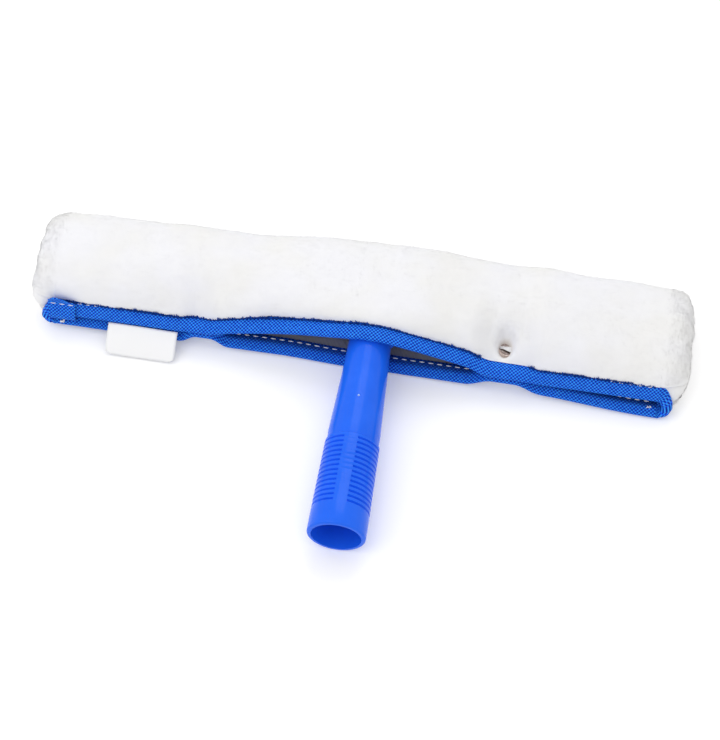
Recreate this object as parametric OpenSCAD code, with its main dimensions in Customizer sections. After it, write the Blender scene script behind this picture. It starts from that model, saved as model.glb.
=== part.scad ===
// Window scrubber: a T-bar handle that carries a plush washing sleeve.
// The sleeve's mouth is bound with woven tape and closed by two press studs.
// X runs along the crossbar, the pole socket opens towards -Y, and the scrubber lies on Z = 0.

/* [Handle] */
// Distance from the crossbar's line to the rim of the pole socket
handle_len = 141.5; // [120:0.5:200]
// Outside diameter of the collar at the rim
collar_d = 30.2; // [29:0.1:33]
// Length of the plain collar
collar_w = 12.5; // [8:0.5:20]
// Bore that takes the pole
socket_d = 25.8; // [20:0.1:26.4]
// Depth of the straight bore
socket_depth = 42; // [30:1:50]
// Bore of the moulded hollow behind the socket
core_d = 19; // [12:0.5:20]
// Length of the ribbed grip
grip_w = 41; // [25:1:50]
// Number of grooves round the grip
groove_count = 14; // [8:1:18]
// Depth of a groove
groove_depth = 0.5; // [0.2:0.05:0.8]
// Width of a groove
groove_w = 1.3; // [0.8:0.1:1.5]
// Width of the plain panel along the top of the grip
panel_w = 7; // [4:0.5:12]
// Outside diameter of the neck where the grip begins
neck_d = 27.8; // [25:0.1:28.4]
// Outside diameter of the neck where it meets the saddle
throat_d = 22; // [16:0.5:24]
// Wall of the saddle that is moulded round the crossbar
saddle_wall = 2.5; // [2:0.1:4]
// Width of the saddle along the crossbar
saddle_w = 44; // [34:1:80]

/* [Crossbar] */
// Room between the crossbar's end and the sewn end of the sleeve
bar_end_gap = 1.3; // [0.5:0.1:12]
// Depth of the crossbar's wedge section from nose to back
bar_depth = 32; // [26:0.5:34]
// Height of the crossbar's section
bar_h = 18; // [14:0.5:20]
// Reach of the crossbar's nose in front of its line
nose_reach = 9.5; // [7:0.5:10]
// Radius of the crossbar's nose
nose_r = 3; // [2.6:0.1:4]
// Wall of the hollow crossbar
bar_wall = 2.2; // [1.6:0.1:2.6]
// Depth of an end plug inside the crossbar
plug_depth = 12; // [6:1:20]
// Thickness of an end plug's flange
plug_flange = 2; // [1.5:0.5:4]
// Distance between the two screws of the saddle
screw_pitch = 28; // [20:1:30]
// Diameter of a screw's shank
screw_d = 3.2; // [2.5:0.1:4]
// Diameter of a screw's head
screw_head_d = 6; // [5:0.1:7]

/* [Sleeve] */
// Length of the plush sleeve
sleeve_len = 355; // [345:1:450]
// How far the handle stands off the middle of the sleeve
handle_shift = 9; // [-12:1:12]
// Height of the pile on the knitted backing
pile_h = 7; // [5:0.5:10]
// Height of the pile that is pressed flat under the crossbar
pile_under = 4.8; // [4:0.1:6]
// Thickness of the knitted backing
backing_t = 1.2; // [0.8:0.1:1.6]
// Gap between the crossbar and the cloth round it
cloth_gap = 0.5; // [0.4:0.1:1.5]
// Rise of the sleeve's top between its ends
crown_bow = 2.5; // [0:0.5:5]
// Length of each sewn end beside the mouth
end_len = 15.2; // [14:0.2:22]
// Visible width of the binding tape on each side of the hem
tape_w = 9.5; // [7:0.5:12]
// Thickness of the binding tape
tape_t = 0.9; // [0.5:0.1:1.2]
// How far the hems stand out in front of the crossbar's line
hem_reach = 33.5; // [33:0.5:38]

/* [Press studs] */
// Distance of each press stud from the sleeve's middle
stud_x = 81; // [70:1:110]
// Distance of the press studs in front of the crossbar's line
stud_reach = 19.5; // [19:0.5:21]
// Diameter of the outer caps
cap_d = 11; // [8:0.5:12]
// Thickness of a cap
cap_t = 1.5; // [1:0.1:2]
// Diameter of the sockets and stud flanges
socket_ring_d = 10; // [8:0.5:11]
// Diameter of the stud's head
stud_d = 5; // [4:0.1:5.4]
// Height of the closed stud and socket between the two backings
stud_stack = 4; // [3.6:0.1:4.6]

/* [Label] */
// Width of the bare label
label_w = 38; // [20:1:45]
// Distance of the label's middle from the sleeve's middle
label_x = 106; // [102:1:110]
// Reach of the label in front of the hem
label_reach = 15.5; // [8:0.5:20]
// Thickness of the label
label_t = 0.35; // [0.25:0.05:0.6]

/* [Hidden] */
$fn = 96;

blue = "royalblue";
white = "whitesmoke";

// Clearances
fit_gap = 0.15;
body_gap = 0.3;
sewn_gap = 0.1;
sewn_seat = 0.05;

// The handle's axis lies at z = 0 here; the rim just clears the surface below
axis_h = collar_d / 2 + 0.1;
grip_end = handle_len - collar_w;
grip_start = grip_end - grip_w;
neck_bend = 50;
throat_reach = 20;
neck_slope = 0.0437;
bend_r = neck_d / 2 - neck_slope * (grip_start - neck_bend);
throat_rise = 3.2;
rim_r = 1.2;
groove_pitch = grip_w / (groove_count + 0.5);
grip_r0 = neck_d / 2 + 0.3;
grip_r1 = collar_d / 2 - 0.1;

// Heights of the sleeve's layers and of the crossbar
floor_z = -axis_h;
under_z = floor_z + pile_under + backing_t / 2;
saddle_z0 = under_z + backing_t / 2 + body_gap;
bar_z0 = saddle_z0 + saddle_wall;
bar_z1 = bar_z0 + bar_h;
saddle_z1 = bar_z1 + saddle_wall;
crown_z = bar_z1 + cloth_gap + backing_t + pile_h;
saddle_rise = saddle_wall + fit_gap;
back_base = bar_depth - nose_reach + cloth_gap + backing_t + pile_h;
back_y = back_base + saddle_rise;
crown_y = 2;

// Centres of the crossbar's two section circles, as [y, z]
bar_back = [bar_depth - nose_reach - bar_h / 2, bar_z0 + bar_h / 2];
bar_nose = [nose_r - nose_reach, bar_z0 + nose_r];

// Sleeve along X
half_len = sleeve_len / 2;
mouth_x = half_len - end_len;
bar_len = 2 * (half_len - pile_h - backing_t - bar_end_gap - abs(handle_shift));
neck_half = 6;

// Hem places as [y, z] of the fold, with the tape's slope in degrees
tape_half = backing_t / 2 + sewn_gap + tape_t;
neck_top = throat_rise * 0.57 + (bend_r + throat_d / 2) / 2;
hem_base = [-hem_reach, -4.5];
hem_neck = [-hem_reach, neck_top + body_gap + tape_half];
stud_fold_y = -hem_reach - 1.5;
low_base = [-hem_reach - 2, -10.6];
low_neck = [-hem_reach, floor_z + tape_half + 0.1];
stud_up_z = -0.6;
stud_low_z = stud_up_z - stud_stack - backing_t;
lip_gap = 0.4;
hem_stud_z = (stud_up_z + stud_low_z + lip_gap) / 2 + tape_half;
low_stud_z = hem_stud_z - lip_gap - 2 * tape_half;

// Shape of the hems and the cloth along X
stud_flat = 6;
stud_blend = 14;
saddle_blend = 34;
hem_lift = 40;
hem_flat = 4;
low_lift = 8;
low_neck_lift = 16;
roll_y = 14;
belly_y = -19;
split = body_gap / 2;

// Where the part's own origin lies: middle of the sleeve, middle of the depth, on the surface
origin = [0, (back_y - handle_len) / 2, floor_z];

function lerp(a, b, t) = a + (b - a) * t;
function clamp01(t) = max(0, min(1, t));
function smooth(t) = let (c = clamp01(t)) c * c * (3 - 2 * c);
function dir(a) = [cos(a), sin(a)];
function bez(p, t) = pow(1 - t, 3) * p[0] + 3 * pow(1 - t, 2) * t * p[1]
    + 3 * (1 - t) * t * t * p[2] + t * t * t * p[3];
function at_x(x, p) = [x, p[0], p[1]];

// Outline of two circles and their shared tangents, as the crossbar's section
function wedge(grow) =
    let (a = bar_back, b = bar_nose, ra = bar_h / 2 + grow, rb = nose_r + grow,
        d = b - a, base = atan2(d[1], d[0]), phi = acos((ra - rb) / norm(d)), n = 24)
    concat([for (i = [0:n]) a + ra * dir(base + phi + (360 - 2 * phi) * i / n)],
        [for (i = [0:n / 2]) b + rb * dir(base - phi + 4 * phi * i / n)]);

// How much the neck lifts the upper hem, and how much a stud pulls it flat, at a place along X
function neck_pull(x) =
    let (span = stud_x + (x < handle_shift ? handle_shift : -handle_shift),
        u = clamp01((abs(x - handle_shift) - neck_half) / (span - neck_half)))
    (1 - u) * (1 + 0.35 * u);
function stud_pull(x) = 1 - smooth((abs(abs(x) - stud_x) - stud_flat) / stud_blend);
function saddle_pull(x) = 1 - smooth((abs(x - handle_shift) - saddle_w / 2 - 2) / saddle_blend);
function bow(x) = 1 - pow(x / mouth_x, 2);

// Upper hem and cloth
function hem_slope(x) =
    lerp(lerp(hem_lift, hem_flat, smooth(neck_pull(x) * 1.4)),
        asin((stud_up_z - hem_stud_z) / tape_w), stud_pull(x));
function hem_fold(x) =
    lerp(lerp(hem_base, hem_neck, neck_pull(x)), [stud_fold_y, hem_stud_z], stud_pull(x));
function flat_len(x) = lerp(1.5, -stud_fold_y - tape_w - stud_reach + cap_d / 2 + 1, stud_pull(x));
function crown(x) = crown_z + crown_bow * bow(x) + saddle_rise * saddle_pull(x) - 1.5 * stud_pull(x);
function back(x) = back_base + saddle_rise * saddle_pull(x);
function back_arc(y0, w, h, square) =
    [for (i = [1:6]) let (a = 15 * i) [y0 + w * pow(sin(a), square), h * pow(max(0, cos(a)), square)]];
function upper_cloth(x, off) =
    let (e = hem_fold(x), s = hem_slope(x), t = e + tape_w * dir(s),
        k = t + flat_len(x) * dir(lerp(s, 0, stud_pull(x))),
        h = crown(x) - pile_h - backing_t / 2, w = back(x) - pile_h - backing_t / 2 - crown_y,
        p1 = k + lerp(7, 3, stud_pull(x)) * dir(lerp(s, 35, stud_pull(x))),
        lift = [-off * sin(s), off * cos(s)],
        c = [k + lift, p1 + lift, [crown_y - 11, h + off], [crown_y, h + off]])
    concat([t + lift + sewn_gap * dir(s)], [for (i = [0:5]) bez(c, i / 5)],
        back_arc(crown_y, w + off, h + off, 0.5));
function upper_pile(x) =
    let (e = hem_fold(x), s = hem_slope(x), t = e + tape_w * dir(s), p = stud_pull(x),
        a = t + (tape_half + 1) * dir(s + 90) - 1.2 * dir(s), h = crown(x),
        c = [a, a + lerp([-1.5, 7], [4, 4.5], p), [crown_y - lerp(15, 10, p), h - 1.5 * p], [crown_y, h]])
    concat([t + tape_half * dir(s + 90) + sewn_gap * dir(s)], [for (i = [0:5]) bez(c, i / 5)],
        back_arc(crown_y, back(x) - crown_y, h, 0.85));

// Lower hem and cloth
function low_slope(x) =
    lerp(lerp(low_lift, low_neck_lift, neck_pull(x)),
        -asin((low_stud_z - stud_low_z) / tape_w), stud_pull(x));
function low_fold(x) =
    lerp(lerp(low_base, low_neck, neck_pull(x)), [stud_fold_y, low_stud_z], stud_pull(x));
function lower_cloth(x, off) =
    let (e = low_fold(x), s = low_slope(x), t = e + tape_w * dir(s),
        k = t + flat_len(x) * dir(lerp(s, 0, stud_pull(x))), z = under_z - off,
        w = back(x) - pile_h - backing_t / 2 + off,
        c = [k - [0, off], k + [3, -off], [-8, z], [-3, z]])
    concat([t - off * dir(s + 90) + sewn_gap * dir(s)], [for (i = [0:4]) bez(c, i / 4)], [[roll_y, z]],
        back_arc(roll_y, w - roll_y, z, 1));
function lower_pile(x) =
    let (e = low_fold(x), s = low_slope(x), t = e + tape_w * dir(s),
        a = t - [1.5, tape_half + 1], z = floor_z,
        c = [a, [a[0] - 1.5, (a[1] + z) / 2 - 1], [belly_y - 7, z], [belly_y, z]])
    concat([t - tape_half * dir(s + 90) + sewn_gap * dir(s)], [for (i = [0:4]) bez(c, i / 4)], [[roll_y, z]],
        back_arc(roll_y, back(x) - roll_y, z, 1));

// Points of a section, kept clear of the line where the flap swings away from the lower panel
function above(x, pts) = [for (p = pts) at_x(x, [p[0], p[0] > crown_y ? max(p[1], split) : p[1]])];
function below(x, pts) = [for (p = pts) at_x(x, [p[0], p[0] > crown_y ? min(p[1], -split) : p[1]])];

// Stations along X, close together where the hems turn
key_x = [-mouth_x, -stud_x - 20, -stud_x - 6, -stud_x + 6, -stud_x + 20, handle_shift - neck_half,
    handle_shift + neck_half, stud_x - 20, stud_x - 6, stud_x + 6, stud_x + 20, mouth_x];
key_n = [2, 2, 1, 2, 4, 1, 3, 2, 1, 2, 2];
stations = concat([for (i = [0:len(key_n) - 1]) for (j = [0:key_n[i] - 1])
    lerp(key_x[i], key_x[i + 1], j / key_n[i])], [mouth_x]);

// Strip of cloth: each section is [outer points, inner points], with as many of each.
// The first quads can be split along their other diagonal, so that two twisted strips stay parallel.
module shell(sections, crossed = 0) {
    m = len(sections);
    n = len(sections[0][0]);
    points = [for (s = sections) each concat(s[0], s[1])];
    function o(k, i) = k * 2 * n + i;
    function q(k, i) = k * 2 * n + n + i;
    function quad(a, b, c, d) = [[a, b, c], [a, c, d]];
    function split_quad(i, p) = i < crossed ? quad(p[1], p[2], p[3], p[0]) : quad(p[0], p[1], p[2], p[3]);
    faces = concat(
        [for (k = [0:m - 2]) for (i = [0:n - 2])
            each split_quad(i, [o(k, i), o(k, i + 1), o(k + 1, i + 1), o(k + 1, i)])],
        [for (k = [0:m - 2]) for (i = [0:n - 2])
            each split_quad(i, [q(k, i), q(k + 1, i), q(k + 1, i + 1), q(k, i + 1)])],
        [for (k = [0:m - 2]) each quad(o(k, 0), o(k + 1, 0), q(k + 1, 0), q(k, 0))],
        [for (k = [0:m - 2]) each quad(o(k, n - 1), q(k, n - 1), q(k + 1, n - 1), o(k + 1, n - 1))],
        [for (i = [0:n - 2]) each quad(o(0, i), q(0, i), q(0, i + 1), o(0, i + 1))],
        [for (i = [0:n - 2]) each quad(o(m - 1, i), o(m - 1, i + 1), q(m - 1, i + 1), q(m - 1, i))]);
    polyhedron(points, faces, convexity = 8);
}

// Closed skin over a run of rings, capped at both ends
module skin(rings) {
    m = len(rings);
    n = len(rings[0]);
    faces = concat(
        [for (i = [1:n - 2]) [0, i, i + 1]],
        [for (k = [0:m - 2]) for (i = [0:n - 1]) let (a = k * n + i, b = k * n + (i + 1) % n)
            each [[a, a + n, b + n], [a, b + n, b]]],
        [for (i = [1:n - 2]) let (z = (m - 1) * n) [z, z + i + 1, z + i]]);
    polyhedron([for (r = rings) each r], faces, convexity = 8);
}

module seat() translate(-origin) children();
module along_x(x0, x1) translate([x0, 0, 0]) rotate([90, 0, 90]) linear_extrude(x1 - x0) children();
module handle_line() translate([handle_shift, 0, 0]) rotate([90, 0, 0]) children();

// Handle: one moulding of socket, ribbed grip, neck and saddle
function grip_r(s) = lerp(grip_r0, grip_r1, (s - grip_start) / grip_w);
grip_profile = [for (i = [0:groove_count - 1]) let (s = grip_start + groove_pitch * (i + 0.75))
    each [[grip_r(s), s], [grip_r(s) - groove_depth, s + groove_w / 2], [grip_r(s), s + groove_w]]];
core_end = handle_len - socket_depth - 3;
module grip_body() {
    rotate_extrude() polygon(concat(
        [[core_d / 2, neck_bend + 2], [bend_r, neck_bend], [neck_d / 2, grip_start],
        [grip_r0, grip_start + 0.6]],
        grip_profile,
        [[grip_r1, grip_end], [collar_d / 2, grip_end + 0.8], [collar_d / 2, handle_len - rim_r]],
        [for (i = [1:4]) [collar_d / 2, handle_len] - rim_r * ([1, 1] - dir(22.5 * i))],
        [[socket_d / 2, handle_len], [socket_d / 2, handle_len - socket_depth],
        [core_d / 2, core_end]]));
}
module grip_panel() {
    intersection() {
        difference() {
            cylinder(h = grip_end, r1 = grip_r0 - neck_slope * grip_start / 2, r2 = grip_r1);
            translate([0, 0, -1]) cylinder(h = grip_end + 2, d = socket_d + 1);
        }
        translate([-panel_w / 2, 0, grip_start + 1]) cube([panel_w, collar_d, grip_w - 1]);
    }
}
module neck() {
    tilt = atan(throat_rise / (neck_bend - throat_reach));
    length = norm([throat_rise, neck_bend - throat_reach]);
    translate([handle_shift, -neck_bend, 0]) {
        sphere(r = bend_r);
        rotate([tilt - 90, 0, 0]) cylinder(h = length, r1 = bend_r, d2 = throat_d);
    }
}
module saddle() {
    flare = throat_d / 2;
    along_x(handle_shift - saddle_w / 2, handle_shift + saddle_w / 2) polygon(wedge(fit_gap + saddle_wall));
    translate([handle_shift, 0, bar_nose[1] - nose_r / 2]) linear_extrude(bar_h * 0.55)
        polygon([[-flare, -throat_reach - 4], [-saddle_w / 2 + 2, -nose_reach + 1], [-saddle_w / 2 + 2, 4],
            [saddle_w / 2 - 2, 4], [saddle_w / 2 - 2, -nose_reach + 1], [flare, -throat_reach - 4]]);
}
screw_head_h = screw_head_d / 4;
module screw_places() {
    for (side = [-1, 1])
        translate([handle_shift + side * screw_pitch / 2, bar_back[0], 0]) children();
}
module handle() color(blue) seat() {
    difference() {
        union() {
            difference() {
                union() {
                    neck();
                    saddle();
                }
                handle_line() translate([0, 0, neck_bend + 1]) cylinder(h = handle_len, d = core_d);
            }
            handle_line() grip_body();
            handle_line() grip_panel();
        }
        along_x(handle_shift - saddle_w, handle_shift + saddle_w) polygon(wedge(fit_gap));
        screw_places() translate([0, 0, bar_back[1]]) cylinder(h = bar_h, d = screw_d + 2 * fit_gap);
        screw_places() translate([0, 0, saddle_z1 - screw_head_h])
            cylinder(h = bar_h, d = screw_head_d + 2 * fit_gap);
    }
}

// Crossbar: a hollow wedge section with a moulded plug in each end
bar_x0 = handle_shift - bar_len / 2;
bar_x1 = handle_shift + bar_len / 2;
module crossbar() color(blue) seat() {
    difference() {
        along_x(bar_x0 + plug_flange, bar_x1 - plug_flange) polygon(wedge(0));
        along_x(bar_x0, bar_x1) polygon(wedge(-bar_wall));
        screw_places() translate([0, 0, bar_back[1]]) cylinder(h = bar_h, d = screw_d + sewn_gap);
    }
}
module end_plug(x, side) color(blue) seat() translate([x, 0, 0]) mirror([side < 0 ? 1 : 0, 0, 0]) {
    along_x(-plug_flange - plug_depth, -plug_flange) polygon(wedge(-bar_wall - fit_gap));
    along_x(-plug_flange, 0) polygon(wedge(0));
}
module end_plug_left() end_plug(bar_x0, -1);
module end_plug_right() end_plug(bar_x1, 1);
module saddle_screws() color("silver") seat() {
    slot = [screw_head_d * 0.7, 0.8, screw_head_h];
    tip = bar_z1 - bar_wall - 3;
    screw_places() {
        translate([0, 0, saddle_z1 - screw_head_h]) difference() {
            cylinder(h = screw_head_h, d1 = screw_head_d, d2 = screw_head_d - 0.8);
            for (turned = [0, 90])
                rotate([0, 0, turned]) translate([-slot[0] / 2, -slot[1] / 2, screw_head_h / 2]) cube(slot);
        }
        translate([0, 0, tip]) cylinder(h = saddle_z1 - screw_head_h / 2 - tip, d = screw_d);
    }
}

// Stud places, and the cuts they need in the cloth
module stud_place(side) translate([side * stud_x, -stud_reach, 0]) children();
shank_d = 3;
module stud_cuts(z0, z1, d) {
    for (side = [-1, 1]) stud_place(side) translate([0, 0, z0]) cylinder(h = z1 - z0, d = d, $fn = 32);
}

// Plush cloth: pile on a knitted backing, the upper flap and the lower panel
module plush_upper() color(white) seat() difference() {
    shell([for (x = stations)
        [above(x, upper_pile(x)), above(x, upper_cloth(x, backing_t / 2 + sewn_gap))]]);
    stud_cuts(stud_up_z, crown_z + pile_h, cap_d + 1);
}
module plush_lower() color(white) seat() difference() {
    shell([for (x = stations)
        [below(x, lower_cloth(x, backing_t / 2 + sewn_gap)), below(x, lower_pile(x))]]);
    stud_cuts(stud_low_z - backing_t / 2 - cap_t - body_gap, stud_up_z, cap_d + 1);
}
function in_tape(x, e, s, side) = at_x(x, e + 2 * tape_t * dir(s) + side * backing_t / 2 * dir(s + 90));
module backing_upper() color(white) seat() difference() {
    shell([for (x = stations) let (e = hem_fold(x), s = hem_slope(x)) [
        concat([in_tape(x, e, s, 1)], above(x, upper_cloth(x, backing_t / 2))),
        concat([in_tape(x, e, s, -1)], above(x, upper_cloth(x, -backing_t / 2)))]]);
    stud_cuts(stud_up_z - backing_t, stud_up_z + backing_t, shank_d + 0.4);
}
module backing_lower() color(white) seat() difference() {
    shell([for (x = stations) let (e = low_fold(x), s = low_slope(x)) [
        concat([in_tape(x, e, s, 1)], below(x, lower_cloth(x, -backing_t / 2))),
        concat([in_tape(x, e, s, -1)], below(x, lower_cloth(x, backing_t / 2)))]]);
    stud_cuts(stud_low_z - backing_t, stud_low_z + backing_t, shank_d + 0.4);
}

// Sewn ends: hollow cups that close the sleeve beside its mouth
end_mid = [4, (crown_z + floor_z) / 2];
end_front = hem_base[0] + tape_w;
seam_d = 1;
function reversed(p) = [for (i = [len(p) - 1:-1:0]) p[i]];
end_outline = let (up = hem_base[1] + 4, low = low_base[1])
    concat(upper_pile(mouth_x), reversed(lower_pile(mouth_x)), [[end_front, low], [end_front, up]]);
function shrunk(x, inset) = [for (p = end_outline) [x,
    end_mid[0] + (p[0] - end_mid[0]) * (1 - inset / (back_base - end_mid[0])),
    end_mid[1] + (p[1] - end_mid[1]) * (1 - inset / (crown_z - end_mid[1]))]];
end_bore = [[end_front + pile_h, under_z + backing_t / 2],
    [back_base - pile_h - backing_t, crown_z - pile_h - backing_t]];
function bulge(t) = sign(t) * sqrt(abs(t));
function oval(x) = [for (i = [0:len(end_outline) - 1])
    let (a = 150 - 360 * (i + 0.5) / len(end_outline), m = (end_bore[0] + end_bore[1]) / 2,
        h = (end_bore[1] - end_bore[0]) / 2)
    [x, m[0] + h[0] * bulge(cos(a)), m[1] + h[1] * bulge(sin(a))]];
seam_reach = 17;
module seam_line()
    translate([half_len - seam_d / 2, end_mid[0] - seam_reach, 0]) rotate([-90, 0, 0]) children();
module sewn_end(side) color(white) seat() mirror([side < 0 ? 1 : 0, 0, 0]) {
    x0 = mouth_x + body_gap;
    depth = half_len - x0;
    difference() {
        skin(concat([for (i = [5:-1:0]) let (a = 18 * i)
            shrunk(x0 + depth * sin(a), depth * 0.7 * (1 - cos(a)))],
            [oval(x0), oval(half_len - pile_h - backing_t)]));
        seam_line() cylinder(h = 2 * seam_reach, d = seam_d + 2 * sewn_gap, $fn = 24);
    }
}
module plush_end_left() sewn_end(-1);
module plush_end_right() sewn_end(1);
module end_seam(side) color("wheat") seat() mirror([side < 0 ? 1 : 0, 0, 0])
    seam_line() translate([0, 0, sewn_gap]) cylinder(h = 2 * (seam_reach - sewn_gap), d = seam_d);
module end_seam_left() end_seam(-1);
module end_seam_right() end_seam(1);

// Binding tape: woven strip folded over each raw edge, turned round both ends of the mouth
tape_out = [[tape_w, -tape_half], [1, -tape_half], [0, -tape_half / 2],
    [0, tape_half / 2], [1, tape_half], [tape_w, tape_half]];
slot_half = tape_half - tape_t;
tape_in = [[tape_w, -slot_half], [2 * tape_t, -slot_half], [1.6 * tape_t, -slot_half / 2],
    [1.6 * tape_t, slot_half / 2], [2 * tape_t, slot_half], [tape_w, slot_half]];
function tape_at(x, e, s, pts) = [for (p = pts) at_x(x, e + p[0] * dir(s) + p[1] * dir(s + 90))];
module tape(sections) color(blue) seat()
    shell([for (c = sections) [tape_at(c[0], c[1], c[2], tape_out), tape_at(c[0], c[1], c[2], tape_in)]], 1);
module tape_upper() tape([for (x = stations) [x, hem_fold(x), hem_slope(x)]]);
module tape_lower() tape([for (x = stations) [x, low_fold(x), low_slope(x)]]);
corner_x = mouth_x + body_gap;
corner_parts = 8;
function turn(g, pts) =
    let (c = cos(g), s = sin(g), up = c > 0 ? hem_slope(mouth_x) : low_slope(mouth_x),
        e = (hem_base + low_base) / 2 + (hem_base - low_base) / 2 * c,
        along = [s, abs(c) * cos(up) + 0.9 * s, abs(c) * sin(up)],
        out = [0.9 * s, -c * sin(up) - s, c * cos(up)],
        d = along / norm(along), n = out / norm(out))
    [for (p = pts) [corner_x + s, e[0], e[1]] + 0.9 * p[0] * d + p[1] * n];
module tape_corner(side) color(blue) seat() mirror([side < 0 ? 1 : 0, 0, 0])
    shell([for (i = [0:corner_parts]) let (g = 180 * i / corner_parts)
        [turn(g, tape_out), turn(g, tape_in)]]);
module tape_corner_left() tape_corner(-1);
module tape_corner_right() tape_corner(1);

// Lock-stitched thread, drawn as one line along each tape
stitch = 0.6;
function stitch_at(x, e, s, inset, up) =
    [for (w = [0, 1]) at_x(x, e + (inset + w * stitch) * dir(s) + up * dir(s + 90))];
module thread_upper() color("white") seat()
    shell([for (x = stations) let (e = hem_fold(x), s = hem_slope(x), z = tape_half + 2 * body_gap) [
        stitch_at(x, e, s, tape_w - 3.2, z + stitch * 0.5), stitch_at(x, e, s, tape_w - 3.2, z)]]);
module thread_lower() color("white") seat()
    shell([for (x = stations) let (e = low_fold(x), s = low_slope(x), z = tape_half + body_gap) [
        stitch_at(x, e, s, tape_w - 2, z + stitch * 0.3), stitch_at(x, e, s, tape_w - 2, z)]]);

// Bare label that hangs from the fold of the upper hem to the surface
label_parts = 8;
function hang(x) =
    let (e = hem_fold(x), a = [e[0] - label_t - sewn_seat, e[1]], b = [e[0] - label_reach, floor_z + 1.2])
    [a, lerp(a, b, 0.3) + [-0.6, 0.6], lerp(a, b, 0.65) + [-0.4, 0.8], b];
module label() color("white") seat()
    shell([for (i = [0:label_parts]) let (x = -label_x + label_w * (i / label_parts - 0.5)) [
        [for (p = hang(x)) at_x(x, p)], [for (p = hang(x)) at_x(x, p + [-0.5, 1] * label_t)]]]);

// Press studs: cap and socket on the upper cloth, stud and post on the lower cloth
cloth_up = stud_up_z + backing_t / 2;
cloth_down = stud_low_z - backing_t / 2;
module stud_cap(side) color("silver") seat() stud_place(side) {
    translate([0, 0, cloth_up + sewn_seat]) rotate_extrude()
        polygon([[0, 0], [cap_d / 2, 0], [cap_d / 2, cap_t * 0.4], [cap_d * 0.34, cap_t], [0, cap_t]]);
    translate([0, 0, stud_up_z - backing_t / 2 - 0.8]) cylinder(h = backing_t + 0.9, d = shank_d);
}
module stud_cap_left() stud_cap(-1);
module stud_cap_right() stud_cap(1);
socket_z1 = cloth_up - backing_t - sewn_seat;
flange_t = 0.7;
flange_z1 = cloth_down + backing_t + sewn_seat + flange_t;
head_z0 = flange_z1 + stud_stack / 2 - 0.8;
module stud_socket(side) color("silver") seat() stud_place(side) difference() {
    translate([0, 0, flange_z1 + body_gap])
        cylinder(h = socket_z1 - flange_z1 - body_gap, d = socket_ring_d);
    translate([0, 0, flange_z1])
        cylinder(h = socket_z1 - flange_z1 - flange_t - fit_gap, d = stud_d + 3 * body_gap);
    translate([0, 0, flange_z1]) cylinder(h = stud_stack, d = shank_d + 0.2);
}
module stud_socket_left() stud_socket(-1);
module stud_socket_right() stud_socket(1);
module stud(side) color("silver") seat() stud_place(side) difference() {
    union() {
        translate([0, 0, flange_z1 - flange_t]) cylinder(h = flange_t, d = socket_ring_d);
        translate([0, 0, flange_z1]) cylinder(h = head_z0 - flange_z1, d = stud_d - 0.3);
        translate([0, 0, head_z0 - 0.01]) cylinder(h = 0.5, d = stud_d);
    }
    translate([0, 0, flange_z1 - 2 * flange_t]) cylinder(h = 2 * flange_t, d = shank_d + 0.2);
}
module stud_left() stud(-1);
module stud_right() stud(1);
module stud_post(side) color("silver") seat() stud_place(side) {
    translate([0, 0, cloth_down - sewn_seat - cap_t]) cylinder(h = cap_t, d = cap_d - 1);
    translate([0, 0, cloth_down - 0.1]) cylinder(h = backing_t + 0.5, d = shank_d);
}
module stud_post_left() stud_post(-1);
module stud_post_right() stud_post(1);

handle();
crossbar();
end_plug_left();
end_plug_right();
saddle_screws();
plush_upper();
plush_lower();
plush_end_left();
plush_end_right();
backing_upper();
backing_lower();
tape_upper();
tape_lower();
tape_corner_left();
tape_corner_right();
thread_upper();
thread_lower();
end_seam_left();
end_seam_right();
label();
stud_cap_left();
stud_cap_right();
stud_socket_left();
stud_socket_right();
stud_left();
stud_right();
stud_post_left();
stud_post_right();
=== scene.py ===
import math
import random

import bmesh
import bpy
import numpy as np
from mathutils import Matrix, Vector, noise


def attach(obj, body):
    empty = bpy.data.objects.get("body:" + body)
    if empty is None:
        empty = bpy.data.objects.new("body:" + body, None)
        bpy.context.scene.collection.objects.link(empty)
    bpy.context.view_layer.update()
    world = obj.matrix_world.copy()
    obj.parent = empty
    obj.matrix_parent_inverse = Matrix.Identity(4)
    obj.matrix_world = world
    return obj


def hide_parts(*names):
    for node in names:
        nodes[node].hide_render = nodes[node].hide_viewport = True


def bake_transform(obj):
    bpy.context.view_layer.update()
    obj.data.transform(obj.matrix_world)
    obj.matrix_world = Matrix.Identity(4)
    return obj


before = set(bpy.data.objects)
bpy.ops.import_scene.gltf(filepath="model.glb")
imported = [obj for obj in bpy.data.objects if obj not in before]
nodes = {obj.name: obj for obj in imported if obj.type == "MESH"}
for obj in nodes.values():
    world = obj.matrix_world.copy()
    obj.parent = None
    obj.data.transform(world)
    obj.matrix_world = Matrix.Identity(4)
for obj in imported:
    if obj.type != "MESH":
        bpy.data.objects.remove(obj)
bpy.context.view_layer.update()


# Camera: it stands where the photograph was taken, above the rim of the handle and a little
# to the right. The scrubber lies flat, about a metre away.
scene = bpy.context.scene
scene.view_settings.view_transform = "Standard"
camera_place = Vector((0.0930, -0.5080, 0.8655))
camera_target = Vector((0.0060, 0.0111, 0.0152))
camera_roll = math.radians(0.9)
sensor_width, photo_height, focal_pixels = 36, 740, 1898.7
camera_data = bpy.data.cameras.new("camera")
camera_data.sensor_width = sensor_width
camera_data.sensor_fit = "AUTO"
camera_data.lens = focal_pixels / photo_height * sensor_width
camera = bpy.data.objects.new("camera", camera_data)
scene.collection.objects.link(camera)
look = (camera_target - camera_place).to_track_quat("-Z", "Y").to_matrix()
roll = Matrix.Rotation(-camera_roll, 3, "Z")
camera.matrix_world = Matrix.Translation(camera_place) @ (look @ roll).to_4x4()
scene.camera = camera


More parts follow.
